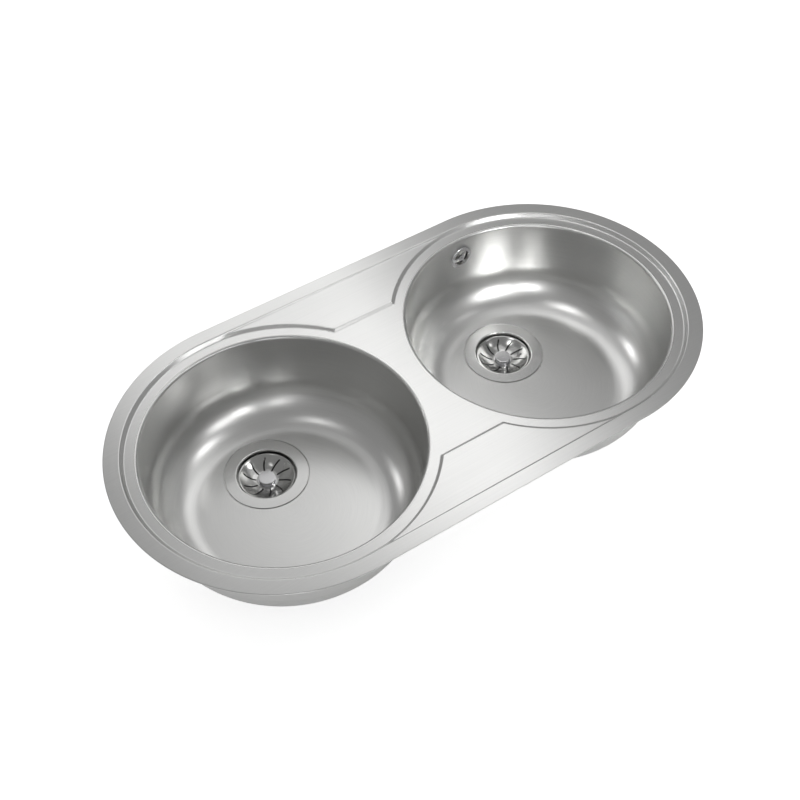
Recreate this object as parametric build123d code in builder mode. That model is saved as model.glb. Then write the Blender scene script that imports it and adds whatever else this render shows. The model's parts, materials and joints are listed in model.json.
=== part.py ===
from build123d import *
import os
from math import asin, cos, pi, radians, sin, sqrt, tan

os.makedirs("parts", exist_ok=True)

# A stainless steel inset sink with two round bowls, in millimetres.
# X runs along the deck, Y from the front edge to the rear edge, Z up.
# The origin is the centre of the worktop cut-out, in the plane of the worktop's top face.

# ---------------------------------------------------------------- driving sizes
# Deck: one pressed sheet, round at both ends
deck_length = 840.0
deck_width = 440.0
sheet = 0.8
rim_height = 1.4  # the rim's top above the worktop
rim_width = 20.0  # flat border between the outer edge and the first step
rim_edge_round = 1.1
ring_drop = 5.3  # the bowl rings and the middle of the deck, below the rim
rim_step_run = 4.8  # width of the sloping step from the rim to that level
panel_drop = 2.0  # the two raised panels, below the rim
panel_inner_edge = 127.5  # half the distance between the two panels
panel_wall_run = 3.6

# Bowls: two deep drawn shells, welded into the deck
bowl_setback = 40.9  # the bowls' walls, inside the ends' outer edge
bowl_shift = 0.8  # the bowls' axes, nearer the middle than the centres of the round ends
bowl_depth = 139.4  # floor's outer edge, below the rim
floor_fall = 1.2  # from there to the bowl's axis
bowl_draft = 1.0  # degrees
mouth_round = 4.0
floor_round = 60.5
weld_land = 0.7  # flat border of the bowl that is welded into the deck

# Wastes: a steel flange above each bowl floor, clamped to a moulded body below it
drain_setback = 115.5  # the wastes' axes, in front of the bowls' rear walls
flange_depth = 0.6  # the flange's top, below the bowl floor's outer edge
flange_radius = 57.0
flange_sheet = 1.2
flange_gap = 1.0  # between the flange and the edge of its recess
lip_round = 1.6
throat_radius = 40.4
well_depth = 20.3  # the ledge for the plug seal, below the flange's top
ledge_radius = 29.0
collar_depth = 28.0  # the lower end of the ledge's collar and arms
waste_hole_radius = 45.0
hub_radius = 9.0
hub_top_depth = 22.5
arm_count = 4
arm_width = 4.0
upper_gasket = 1.0
lower_gasket = 2.5
gasket_border = 1.0
body_flange_radius = 56.5
body_flange = 3.0
body_wall = 2.8
body_gap = 2.0  # round the flange's throat
body_cup_depth = 38.0  # lower end of the cup's straight wall, below the flange's top
body_cone = 12.0
outlet_radius = 23.9  # over the thread of an inch and a half outlet
outlet_wall = 3.3
outlet_length = 18.0
rib_width = 2.4
rib_count = 3
boss_radius = 7.0
boss_length = 14.0
centre_screw_radius = 3.0
centre_screw_head_radius = 5.6
centre_screw_head = 3.0
centre_screw_clearance = 0.05
centre_screw_point_gap = 2.0

# Strainers: a dished disc with curved slots, a knob above and a plug seal below
strainer_radius = 38.5
strainer_sheet = 0.8
strainer_rim_depth = 5.0  # below the flange's top
strainer_rim_drop = 2.2
strainer_rim_land = 1.6
strainer_floor_depth = 15.0
strainer_floor_radius = 13.6
strainer_sag = 1.6  # of the dish below a straight cone, half way up
slot_count = 10
slot_inner = 16.0
slot_curve = 28.0  # radius of each slot's line, which starts straight outwards
slot_turn = 35.0  # degrees that the line turns clockwise
slot_width = 1.9
slot_phase = 2.0  # degrees
knob_radius = 11.3
knob_height = 7.0
knob_waist_radius = 9.6
knob_cap = 3.6
knob_round = 0.8
knob_collar_radius = 12.6
knob_collar = 1.3
stem_radius = 4.0
stem_clearance = 0.05
plug_seal_radius = 35.0
plug_seal = 3.0
plug_seal_lip = 1.2
plug_seal_gap = 0.3  # above the ledge, when closed
retainer_radius = 8.0
retainer = 1.5

# Overflow of the right bowl: a rosette inside, an elbow outside and a ribbed hose to the waste
overflow_depth = 38.5  # below the rim
overflow_hole_radius = 13.0
rosette_radius = 17.5
rosette = 2.2
rosette_opening_radius = 12.8
rosette_hub_radius = 5.2
spoke_width = 3.2
spoke_count = 3
spoke_turn = 60.0  # degrees
rosette_round = 0.9
overflow_gasket = 3.0
overflow_gasket_radius = 17.0
elbow_flange = 3.0
chamber_radius = 13.5
chamber_wall = 2.4
chamber_reach = 10.5  # rear end of the elbow, behind the hose's axis
bridge_width = 3.0
bridge_depth = 5.0
overflow_boss_radius = 4.6
overflow_screw_radius = 2.0
overflow_screw_clearance = 0.05
overflow_screw_head_radius = 3.8
overflow_screw_recess_radius = 1.5
overflow_screw_recess = 1.2
rosette_clearance = 0.05
overflow_screw_length = 16.0
countersink_angle = 90.0

# Ribbed hose and the two spigots that it is pushed over
hose_bore_radius = 9.5
hose_wall = 1.3
rib_height = 1.6
rib_pitch = 3.2
rib_crest = 1.1
rib_flank = 0.5
hose_cuff = 25.0  # plain end, at the least
hose_bend = 55.0
hose_setback = 13.2  # the axis of the hose's upright stretch, behind the elbow's face
inlet_depth = 24.0  # the inlet's axis, below the waste flange's top
spigot_clearance = 0.1
spigot_wall = 1.8
spigot_length = 18.0
spigot_root = 3.0  # shoulder that the hose is pushed against
hose_collar_radius = 13.4
hose_collar_length = 8.0
hose_collar_inset = 4.0
hose_collar_clearance = 0.05

# Fixing: brackets welded under the deck, and a claw, a washer and a screw on each
clip_gap = 3.8  # between the overflow's gasket and the bracket beside it
clip_setback = 9.9  # the screws' axes, outside the bowls' walls
bracket_sheet = 1.2
bracket_width = 24.0
bracket_inner = 5.6  # from the screw's axis towards the bowl
bracket_outer = 5.4
nut_flats = 8.0
nut_height = 4.0
clip_screw_radius = 2.45
thread_clearance = 0.05
screw_hole_clearance = 0.35
screw_head_radius = 4.5
screw_head = 3.2
screw_recess_radius = 1.9
screw_recess = 2.0
screw_tip_gap = 0.6  # under the bracket's top, with the claw all the way up
washer_radius = 5.5
washer_thickness = 1.0
claw_sheet = 1.6
claw_width = 16.0
claw_reach = 29.0  # from the screw's axis to the toe's outer face
claw_gap = 0.5  # under the bracket, with the claw all the way up
worktop = 40.0  # the thickest worktop that the claws reach under
toe_height = 5.0
toe_teeth = 5
tooth_depth = 1.0

# Sealing strip and sound deadening pads
seal_inset = 4.0
seal_width = 10.0
pad_length = 150.0
pad_width = 70.0
pad_thickness = 2.5
pad_setback = -48.0
pad_corner = 12.0
pad_glue = 0.1

# ---------------------------------------------------------------- worked out
end_radius = deck_width / 2
end_centre = deck_length / 2 - end_radius
rim_top = rim_height
ring_top = rim_top - ring_drop
ring_under = ring_top - sheet
panel_top = rim_top - panel_drop
well_radius = end_radius - rim_width
bowl_x = end_centre - bowl_shift
bowl_radius = end_radius - bowl_setback
drain_y = bowl_radius - drain_setback
bowl_hole_radius = bowl_radius + mouth_round + weld_land
floor_edge = rim_top - bowl_depth
floor_middle = floor_edge - floor_fall
bowl_foot_radius = bowl_radius - tan(radians(bowl_draft)) * (ring_top - floor_edge)
flange_top = floor_edge - flange_depth
seat_top = flange_top - flange_sheet - upper_gasket
seat_under = seat_top - sheet
recess_radius = flange_radius + flange_gap
body_top = seat_under - lower_gasket
throat_outer = throat_radius + flange_sheet
ledge_top = flange_top - well_depth
hub_top = flange_top - hub_top_depth
collar_bottom = flange_top - collar_depth
body_bore = throat_outer + body_gap
body_radius = body_bore + body_wall
cup_bottom = flange_top - body_cup_depth
cone_bottom = cup_bottom - body_cone
outlet_bore = outlet_radius - outlet_wall
centre_screw_hole = centre_screw_radius + centre_screw_clearance
dish_top = flange_top - strainer_floor_depth
plug_bottom = ledge_top + plug_seal_gap
spigot_radius = hose_bore_radius - spigot_clearance
hose_radius = hose_bore_radius + hose_wall
clearance_margin = 1.0  # how far a cutting tool runs past the face that it cuts

sides = {"left": -1, "right": 1}
upright = (0, 0, 1)


def drain_point(side):
    """The foot of the waste's axis, at the height of the worktop."""
    return Vector(sides[side] * bowl_x, drain_y, 0)


def section_plane(centre):
    """An upright plane through a vertical axis: its x is the radius, its y the height."""
    return Plane(origin=centre, x_dir=(1, 0, 0), z_dir=(0, -1, 0))


def turned(centre, points):
    """A solid turned about the vertical axis through centre, from its half section."""
    with BuildPart() as solid:
        with BuildSketch(section_plane(centre)):
            with BuildLine():
                Polyline(*points, close=True)
            make_face()
        revolve(axis=Axis(centre, upright))
    return solid


def washer(centre, inner, outer, bottom, top):
    """A flat ring about the vertical axis through centre."""
    return turned(centre, [(inner, bottom), (outer, bottom), (outer, top), (inner, top)])


def radial_bars(centre, count, width, reach, bottom, top):
    """Flat bars from the vertical axis through centre outwards, evenly spread."""
    with BuildPart() as bars:
        with BuildSketch(Plane(origin=centre + Vector(0, 0, bottom))):
            with PolarLocations(reach / 2, count):
                Rectangle(reach, width)
        extrude(amount=top - bottom)
    return bars


# ---------------------------------------------------------------- deck
def deck_fill(lowering, inset):
    """All that lies under the deck's top face, or under its lower face when lowered by the sheet."""
    top = rim_top - lowering
    ring = ring_top - lowering
    panel = panel_top - lowering
    base = ring - sheet - clearance_margin
    well_slope = rim_step_run / ring_drop
    wall_slope = panel_wall_run / (ring_drop - panel_drop)
    wall_foot = well_radius - panel_wall_run
    above = top + clearance_margin
    with BuildPart() as well:
        with BuildSketch(Plane.XY.offset(ring)):
            SlotCenterToCenter(2 * end_centre, 2 * (well_radius - rim_step_run))
        with BuildSketch(Plane.XY.offset(above)):
            SlotCenterToCenter(2 * end_centre, 2 * (well_radius + well_slope * clearance_margin))
        loft(ruled=True)
    with BuildPart() as panels:
        with BuildSketch(Plane.YZ):
            with BuildLine():
                Polyline(
                    (panel_inner_edge - panel_wall_run, ring),
                    (panel_inner_edge, panel),
                    (well_radius, panel),
                    (well_radius, ring),
                    close=True,
                )
            make_face()
        extrude(amount=end_centre, both=True)
        for x in (-end_centre, end_centre):
            with BuildSketch(section_plane(Vector(x, 0, 0))):
                with BuildLine():
                    Polyline(
                        (0, ring),
                        (wall_foot, ring),
                        (wall_foot + wall_slope * (above - ring), above),
                        (0, above),
                        close=True,
                    )
                make_face()
            revolve(axis=Axis((x, 0, 0), upright), mode=Mode.SUBTRACT)
        mirror(about=Plane.XZ)
    with BuildPart() as fill:
        with BuildSketch(Plane.XY.offset(base)):
            SlotCenterToCenter(2 * end_centre, 2 * (end_radius - inset))
        extrude(amount=top - base)
        add(well.part, mode=Mode.SUBTRACT)
        add(panels.part)
    return fill


def on_outer_edge(edge):
    """Whether an edge runs along the deck's outline rather than along a step."""
    beyond_end = abs(edge.center().X) > deck_length / 2 - rim_width
    return beyond_end or abs(edge.center().Y) > well_radius


upper_fill = deck_fill(0, 0)
lower_fill = deck_fill(sheet, sheet)

with BuildPart() as deck:
    add(upper_fill.part)
    fillet(deck.edges().group_by(Axis.Z)[-1].filter_by(on_outer_edge), radius=rim_edge_round)
    add(lower_fill.part, mode=Mode.SUBTRACT)
    with BuildSketch(Plane.XY):
        SlotCenterToCenter(2 * end_centre, 2 * (end_radius + clearance_margin))
        SlotCenterToCenter(2 * end_centre, 2 * (end_radius - seal_inset), mode=Mode.SUBTRACT)
    extrude(amount=-(ring_drop + sheet + clearance_margin), mode=Mode.SUBTRACT)
    with BuildSketch(Plane.XY.offset(ring_under - clearance_margin)):
        with Locations((-bowl_x, 0), (bowl_x, 0)):
            Circle(bowl_hole_radius)
    extrude(amount=ring_drop, mode=Mode.SUBTRACT)
deck.part.label = "deck"
export_step(deck.part, "parts/deck.step")

with BuildPart() as rim_seal:
    with BuildSketch(Plane.XY):
        SlotCenterToCenter(2 * end_centre, 2 * (end_radius - seal_inset))
        SlotCenterToCenter(2 * end_centre, 2 * (end_radius - seal_inset - seal_width), mode=Mode.SUBTRACT)
    extrude(amount=rim_top - sheet)
rim_seal.part.label = "rim_seal"
export_step(rim_seal.part, "parts/rim_seal.step")


# ---------------------------------------------------------------- bowls
def bowl_cavity(side):
    """The space that a bowl encloses, up to the level of the rings."""
    axis_foot = Vector(sides[side] * bowl_x, 0, 0)
    with BuildPart() as cavity:
        with BuildSketch(section_plane(axis_foot)):
            with BuildLine():
                FilletPolyline(
                    (bowl_radius, ring_top),
                    (bowl_foot_radius, floor_edge),
                    (0, floor_middle),
                    radius=floor_round,
                )
                Polyline((0, floor_middle), (0, ring_top), (bowl_radius, ring_top))
            make_face()
        revolve(axis=Axis(axis_foot, upright))
    return cavity


def bowl_outside(side):
    """The space inside the outer face of a bowl's wall."""
    slope = tan(radians(bowl_draft))
    wall = sheet / cos(radians(bowl_draft))
    top = ring_top + clearance_margin
    foot = (bowl_foot_radius + wall, floor_edge)
    mouth = (bowl_radius + wall + slope * clearance_margin, top)
    return turned(Vector(sides[side] * bowl_x, 0, 0), [(0, floor_edge), foot, mouth, (0, top)])


def bowl_shell(side):
    """A drawn bowl with its mouth rounded into the deck and a flat recess for the waste flange."""
    axis_foot = Vector(sides[side] * bowl_x, 0, 0)
    drain = drain_point(side)
    cavity = bowl_cavity(side)
    with BuildPart() as shell:
        with BuildSketch(section_plane(axis_foot)):
            with BuildLine():
                FilletPolyline(
                    (bowl_hole_radius, ring_top),
                    (bowl_radius, ring_top),
                    (bowl_foot_radius, floor_edge),
                    (0, floor_middle),
                    radius=[mouth_round, floor_round],
                )
                offset(amount=sheet, side=Side.LEFT)
            make_face()
        revolve(axis=Axis(axis_foot, upright))
        with BuildSketch(Plane(origin=drain + Vector(0, 0, seat_under))):
            Circle(recess_radius + sheet)
        extrude(amount=floor_edge - seat_under)
        add(cavity.part, mode=Mode.SUBTRACT)
        with BuildSketch(Plane(origin=drain + Vector(0, 0, seat_top))):
            Circle(recess_radius)
        extrude(amount=ring_drop, mode=Mode.SUBTRACT)
        with BuildSketch(Plane(origin=drain + Vector(0, 0, seat_under))):
            Circle(waste_hole_radius)
        extrude(amount=sheet, mode=Mode.SUBTRACT)
    return shell


overflow_z = rim_top - overflow_depth
overflow_wall_radius = bowl_radius - tan(radians(bowl_draft)) * (ring_top - overflow_z)
overflow_axis = Plane(origin=(bowl_x, 0, overflow_z), x_dir=(-1, 0, 0), z_dir=(0, 1, 0))

bowl_left = bowl_shell("left")
bowl_left.part.label = "bowl_left"
export_step(bowl_left.part, "parts/bowl_left.step")

plain_bowl = bowl_shell("right")
with BuildPart() as bowl_right:
    add(plain_bowl.part)
    with BuildSketch(overflow_axis):
        Circle(overflow_hole_radius)
    extrude(amount=bowl_radius + mouth_round, mode=Mode.SUBTRACT)
bowl_right.part.label = "bowl_right"
export_step(bowl_right.part, "parts/bowl_right.step")


def sound_pad(side):
    """Soft pad glued under a bowl's floor, in front of the waste."""
    axis_foot = Vector(sides[side] * bowl_x, 0, 0)
    reach = sqrt(pad_length**2 + (abs(pad_setback) + pad_width) ** 2)
    pad_top = floor_middle - sheet - pad_glue
    rise = floor_fall * reach / bowl_foot_radius
    layer = turned(
        axis_foot,
        [
            (0, pad_top - pad_thickness),
            (reach, pad_top + rise - pad_thickness),
            (reach, pad_top + rise),
            (0, pad_top),
        ],
    )
    with BuildPart() as pad:
        with BuildSketch(Plane(origin=axis_foot + Vector(0, pad_setback, pad_top - pad_thickness))):
            RectangleRounded(pad_length, pad_width, pad_corner)
        extrude(amount=pad_thickness + rise)
        add(layer.part, mode=Mode.INTERSECT)
    return pad


for side in sides:
    pad = sound_pad(side)
    pad.part.label = f"sound_pad_{side}"
    export_step(pad.part, f"parts/sound_pad_{side}.step")


# ---------------------------------------------------------------- wastes
def waste_flange(side):
    """Steel ring, throat, ledge for the plug seal and a hub on arms for the centre screw."""
    drain = drain_point(side)
    bars = radial_bars(drain, arm_count, arm_width, ledge_radius + flange_sheet / 2, collar_bottom, hub_top)
    hub = washer(drain, 0, hub_radius, collar_bottom, hub_top)
    screw_space = turned(
        drain,
        [
            (0, collar_bottom),
            (centre_screw_hole, collar_bottom),
            (centre_screw_hole, hub_top - centre_screw_head),
            (centre_screw_head_radius + centre_screw_clearance, hub_top),
            (0, hub_top),
        ],
    )
    with BuildPart() as flange:
        with BuildSketch(section_plane(drain)):
            with BuildLine():
                CenterArc((throat_radius + lip_round, flange_top - lip_round), lip_round, 90, 90)
                Polyline(
                    (throat_radius, flange_top - lip_round),
                    (throat_radius, ledge_top),
                    (ledge_radius, ledge_top),
                    (ledge_radius, collar_bottom),
                    (ledge_radius + flange_sheet, collar_bottom),
                    (ledge_radius + flange_sheet, ledge_top - flange_sheet),
                    (throat_outer, ledge_top - flange_sheet),
                    (throat_outer, flange_top - flange_sheet),
                    (flange_radius, flange_top - flange_sheet),
                    (flange_radius, flange_top),
                    (throat_radius + lip_round, flange_top),
                )
            make_face()
        revolve(axis=Axis(drain, upright))
        add(bars.part)
        add(hub.part)
        add(screw_space.part, mode=Mode.SUBTRACT)
    return flange


def waste_body(side):
    """Moulded cup under the bowl: flange, cup, cone, threaded outlet and a boss on three ribs."""
    drain = drain_point(side)
    outlet_bottom = cone_bottom - outlet_length
    boss_top = cone_bottom + boss_length
    outline = [
        (body_flange_radius, body_top),
        (body_flange_radius, body_top - body_flange),
        (body_radius, body_top - body_flange),
        (body_radius, cup_bottom),
        (outlet_radius, cone_bottom),
        (outlet_radius, outlet_bottom),
    ]
    bore = [
        (outlet_bore, outlet_bottom),
        (outlet_bore, cone_bottom),
        (body_bore, cup_bottom),
        (body_bore, body_top),
    ]
    filled = turned(drain, [(0, body_top), *outline, (0, outlet_bottom)])
    shell = turned(drain, outline + bore)
    ribs = radial_bars(drain, rib_count, rib_width, body_radius, cone_bottom, boss_top)
    boss = washer(drain, 0, boss_radius, cone_bottom, boss_top)
    screw_space = washer(drain, 0, centre_screw_hole, cone_bottom, boss_top)
    with BuildPart() as body:
        add(ribs.part)
        add(filled.part, mode=Mode.INTERSECT)
        add(shell.part)
        add(boss.part)
        add(screw_space.part, mode=Mode.SUBTRACT)
    return body


def centre_screw(side):
    """Countersunk screw from the flange's hub into the body's boss."""
    drain = drain_point(side)
    point = cone_bottom + centre_screw_point_gap
    shape = turned(
        drain,
        [
            (0, hub_top),
            (centre_screw_head_radius, hub_top),
            (centre_screw_radius, hub_top - centre_screw_head),
            (centre_screw_radius, point),
            (0, point),
        ],
    )
    with BuildPart() as screw:
        add(shape.part)
        with BuildSketch(Plane(origin=drain + Vector(0, 0, hub_top))):
            RegularPolygon(screw_recess_radius, side_count=6)
        extrude(amount=-screw_recess, mode=Mode.SUBTRACT)
    return screw


slot_line = JernArc((slot_inner, 0), (1, 0), slot_curve, -slot_turn)


def strainer(side):
    """Dished disc with a turned down rim and curved slots, all leaning the same way."""
    drain = drain_point(side)
    rim = flange_top - strainer_rim_depth
    land = strainer_radius - strainer_rim_land
    half_way = ((land + strainer_floor_radius) / 2, (rim + dish_top) / 2 - strainer_sag)
    floor_start = (strainer_floor_radius, dish_top)
    with BuildPart() as disc:
        with BuildSketch(section_plane(drain)):
            with BuildLine():
                Polyline((strainer_radius, rim - strainer_rim_drop), (strainer_radius, rim), (land, rim))
                Polyline((land, rim), half_way, floor_start, (stem_radius + stem_clearance, dish_top))
                offset(amount=strainer_sheet, side=Side.LEFT)
            make_face()
        revolve(axis=Axis(drain, upright))
        with BuildSketch(Plane(origin=drain + Vector(0, 0, rim))):
            with PolarLocations(0, slot_count, slot_phase):
                SlotArc(slot_line, slot_width)
        extrude(amount=-strainer_floor_depth, mode=Mode.SUBTRACT)
    return disc


def strainer_knob(side):
    """Round cap on a waist, with a thin collar on the dish."""
    collar_top = dish_top + knob_collar
    top = dish_top + knob_height
    shape = turned(
        drain_point(side),
        [
            (0, dish_top),
            (knob_collar_radius, dish_top),
            (knob_collar_radius, collar_top),
            (knob_waist_radius, collar_top),
            (knob_waist_radius, top - knob_cap),
            (knob_radius, top - knob_cap),
            (knob_radius, top),
            (0, top),
        ],
    )
    with BuildPart() as knob:
        add(shape.part)
        fillet(knob.edges().group_by(Axis.Z)[-1], radius=knob_round)
    return knob


def plug_seal_ring(side):
    """Rubber disc that closes the ledge, with a thicker hub under the dish."""
    top = plug_bottom + plug_seal
    bore = stem_radius + stem_clearance
    return turned(
        drain_point(side),
        [
            (bore, plug_bottom),
            (plug_seal_radius, plug_bottom),
            (plug_seal_radius, top - plug_seal_lip),
            (plug_seal_radius - plug_seal_lip, top),
            (retainer_radius, top),
            (retainer_radius, dish_top - strainer_sheet),
            (bore, dish_top - strainer_sheet),
        ],
    )


for side in sides:
    drain = drain_point(side)
    seal_inner = waste_hole_radius + gasket_border
    retainer_bottom = plug_bottom - retainer
    retainer_bore = stem_radius + stem_clearance
    waste_pieces = {
        "waste_flange": waste_flange(side),
        "flange_gasket": washer(
            drain, seal_inner, flange_radius - gasket_border, seat_top, seat_top + upper_gasket
        ),
        "body_gasket": washer(drain, seal_inner, body_flange_radius - gasket_border, body_top, seat_under),
        "centre_screw": centre_screw(side),
        "strainer": strainer(side),
        "strainer_knob": strainer_knob(side),
        "strainer_stem": washer(drain, 0, stem_radius, retainer_bottom, dish_top),
        "plug_seal": plug_seal_ring(side),
        "plug_retainer": washer(drain, retainer_bore, retainer_radius, retainer_bottom, plug_bottom),
    }
    for kind, piece in waste_pieces.items():
        piece.part.label = f"{kind}_{side}"
        export_step(piece.part, f"parts/{kind}_{side}.step")

waste_body_left = waste_body("left")
waste_body_left.part.label = "waste_body_left"
export_step(waste_body_left.part, "parts/waste_body_left.step")

# The right waste body also takes the overflow hose
inlet_z = flange_top - inlet_depth
inlet_shoulder = drain_y + body_radius + spigot_root
inlet_plane = Plane(origin=(bowl_x, drain_y, inlet_z), x_dir=(-1, 0, 0), z_dir=(0, 1, 0))
plain_body = waste_body("right")
with BuildPart() as waste_body_right:
    add(plain_body.part)
    with BuildSketch(inlet_plane.offset(body_bore + body_wall / 2)):
        Circle(hose_radius)
    extrude(amount=body_wall / 2 + spigot_root)
    with BuildSketch(inlet_plane.offset(body_bore + body_wall / 2)):
        Circle(spigot_radius)
    extrude(amount=body_wall / 2 + spigot_root + spigot_length)
    with BuildSketch(inlet_plane.offset(body_bore - spigot_radius)):
        Circle(spigot_radius - spigot_wall)
    extrude(amount=spigot_radius + body_wall + spigot_root + spigot_length, mode=Mode.SUBTRACT)
waste_body_right.part.label = "waste_body_right"
export_step(waste_body_right.part, "parts/waste_body_right.step")

# ---------------------------------------------------------------- overflow
rosette_back = sqrt(overflow_wall_radius**2 - rosette_radius**2) - rosette_clearance
rosette_plane = Plane(origin=(bowl_x, rosette_back, overflow_z), x_dir=(1, 0, 0), z_dir=(0, -1, 0))
elbow_face = overflow_wall_radius + sheet / cos(radians(bowl_draft)) + overflow_gasket
elbow_shoulder = overflow_z - overflow_gasket_radius - spigot_root
hose_y = elbow_face + hose_setback
elbow_rear = hose_y + chamber_reach
overflow_screw_hole = overflow_screw_radius + overflow_screw_clearance

with BuildPart() as overflow_rosette:
    with BuildSketch(rosette_plane):
        Circle(rosette_radius)
        Circle(rosette_opening_radius, mode=Mode.SUBTRACT)
        with PolarLocations(rosette_opening_radius / 2, spoke_count, spoke_turn):
            Rectangle(rosette_opening_radius + rosette_round, spoke_width)
        Circle(rosette_hub_radius)
    extrude(amount=rosette)
    front = overflow_rosette.edges().filter_by(GeomType.CIRCLE).group_by(Axis.Y)[0]
    fillet(front.group_by(SortBy.RADIUS)[-1], radius=rosette_round)
    with Locations(rosette_plane.offset(rosette)):
        CounterSinkHole(
            overflow_screw_hole,
            overflow_screw_head_radius + overflow_screw_clearance,
            counter_sink_angle=countersink_angle,
        )
overflow_rosette.part.label = "overflow_rosette"
export_step(overflow_rosette.part, "parts/overflow_rosette.step")

countersink_slope = tan(radians(countersink_angle / 2))
overflow_screw_head = (overflow_screw_head_radius - overflow_screw_radius) / countersink_slope
with BuildPart() as overflow_screw:
    with BuildSketch(rosette_plane.offset(rosette)):
        Circle(overflow_screw_head_radius)
    with BuildSketch(rosette_plane.offset(rosette - overflow_screw_head)):
        Circle(overflow_screw_radius)
    loft(ruled=True)
    with BuildSketch(rosette_plane.offset(rosette - overflow_screw_head)):
        Circle(overflow_screw_radius)
    extrude(amount=-(overflow_screw_length - overflow_screw_head))
    with BuildSketch(rosette_plane.offset(rosette)):
        RegularPolygon(overflow_screw_recess_radius, side_count=6)
    extrude(amount=-overflow_screw_recess, mode=Mode.SUBTRACT)
overflow_screw.part.label = "overflow_screw"
export_step(overflow_screw.part, "parts/overflow_screw.step")

outer_space = bowl_outside("right")
with BuildPart() as overflow_gasket_ring:
    with BuildSketch(overflow_axis.offset(elbow_face)):
        Circle(overflow_gasket_radius)
        Circle(overflow_hole_radius, mode=Mode.SUBTRACT)
    extrude(amount=-(elbow_face - rosette_back))
    add(outer_space.part, mode=Mode.SUBTRACT)
overflow_gasket_ring.part.label = "overflow_gasket"
export_step(overflow_gasket_ring.part, "parts/overflow_gasket.step")

elbow_down = Plane(origin=(bowl_x, hose_y, overflow_z), x_dir=(1, 0, 0), z_dir=(0, 0, -1))
with BuildPart() as overflow_elbow:
    with BuildSketch(overflow_axis.offset(elbow_face)):
        Circle(overflow_gasket_radius)
    extrude(amount=elbow_flange)
    with BuildSketch(overflow_axis.offset(elbow_face)):
        Circle(chamber_radius)
    extrude(amount=elbow_rear - elbow_face)
    with BuildSketch(elbow_down):
        Circle(hose_radius)
    extrude(amount=overflow_z - elbow_shoulder)
    with BuildSketch(elbow_down):
        Circle(spigot_radius)
    extrude(amount=overflow_z - elbow_shoulder + spigot_length)
    with BuildSketch(overflow_axis.offset(elbow_face)):
        Circle(chamber_radius - chamber_wall)
    extrude(amount=elbow_rear - elbow_face - chamber_wall, mode=Mode.SUBTRACT)
    with BuildSketch(elbow_down):
        Circle(spigot_radius - spigot_wall)
    extrude(amount=overflow_z - elbow_shoulder + spigot_length, mode=Mode.SUBTRACT)
    with BuildSketch(overflow_axis.offset(elbow_face + elbow_flange)):
        Rectangle(2 * chamber_radius - chamber_wall, bridge_width)
        Circle(overflow_boss_radius)
        Circle(overflow_screw_hole, mode=Mode.SUBTRACT)
    extrude(amount=bridge_depth)
overflow_elbow.part.label = "overflow_elbow"
export_step(overflow_elbow.part, "parts/overflow_elbow.step")

# Hose: down from the elbow, round one bend and forward to the waste body's inlet
upper_straight = elbow_shoulder - inlet_z - hose_bend
lower_straight = hose_y - hose_bend - inlet_shoulder
hose_length = upper_straight + hose_bend * pi / 2 + lower_straight
hose_rib_count = int((hose_length - 2 * hose_cuff) / rib_pitch)
first_rib = (hose_length - hose_rib_count * rib_pitch) / 2

with BuildLine(Plane.YZ.offset(bowl_x)) as hose_line:
    FilletPolyline(
        (hose_y, elbow_shoulder),
        (hose_y, inlet_z),
        (inlet_shoulder, inlet_z),
        radius=hose_bend,
    )
hose_path = hose_line.wire()


def hose_plane(distance):
    """The plane square to the hose at a distance along it, always with the same X axis."""
    place = hose_path.position_at(distance, position_mode=PositionMode.LENGTH)
    heading = hose_path.tangent_at(distance, position_mode=PositionMode.LENGTH)
    return Plane(origin=place, x_dir=(1, 0, 0), z_dir=heading)


with BuildPart() as overflow_hose:
    with BuildSketch(hose_plane(0)):
        Circle(hose_radius)
    for number in range(hose_rib_count):
        foot = first_rib + number * rib_pitch
        with BuildSketch(hose_plane(foot)):
            Circle(hose_radius)
        with BuildSketch(hose_plane(foot + rib_flank)):
            Circle(hose_radius + rib_height)
        with BuildSketch(hose_plane(foot + rib_flank + rib_crest)):
            Circle(hose_radius + rib_height)
        with BuildSketch(hose_plane(foot + 2 * rib_flank + rib_crest)):
            Circle(hose_radius)
    with BuildSketch(hose_plane(hose_length)):
        Circle(hose_radius)
    loft(ruled=True)
    with BuildSketch(hose_plane(0)):
        Circle(hose_bore_radius)
    sweep(path=hose_path, mode=Mode.SUBTRACT)
overflow_hose.part.label = "overflow_hose"
export_step(overflow_hose.part, "parts/overflow_hose.step")

collar_starts = {
    "upper": hose_collar_inset,
    "lower": hose_length - hose_collar_inset - hose_collar_length,
}
for end, start in collar_starts.items():
    with BuildPart() as hose_collar:
        with BuildSketch(hose_plane(start)):
            Circle(hose_collar_radius)
            Circle(hose_radius + hose_collar_clearance, mode=Mode.SUBTRACT)
        extrude(amount=hose_collar_length)
    hose_collar.part.label = f"hose_collar_{end}"
    export_step(hose_collar.part, f"parts/hose_collar_{end}.step")

# ---------------------------------------------------------------- fixing clips
# They are drawn as they go through the cut-out: claws all the way up and swung along the edge.
# Each then swings outwards by a quarter turn, and comes down by the travel for the thickest worktop.
clip_radius = bowl_radius + clip_setback
clip_shift = overflow_gasket_radius + clip_gap + bracket_width / 2
clip_spread = pi / 2 + asin(clip_shift / clip_radius)  # between neighbouring clips of one end
screw_tip = ring_under - bracket_sheet - screw_tip_gap
raised_stack = -screw_tip + nut_height + bracket_sheet + claw_gap
claw_travel = (worktop + toe_height - raised_stack) / 2
foot_top = screw_tip - claw_travel - nut_height
claw_top = foot_top - bracket_sheet - claw_gap
claw_bottom = claw_top - claw_sheet
head_top = claw_bottom - washer_thickness


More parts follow.
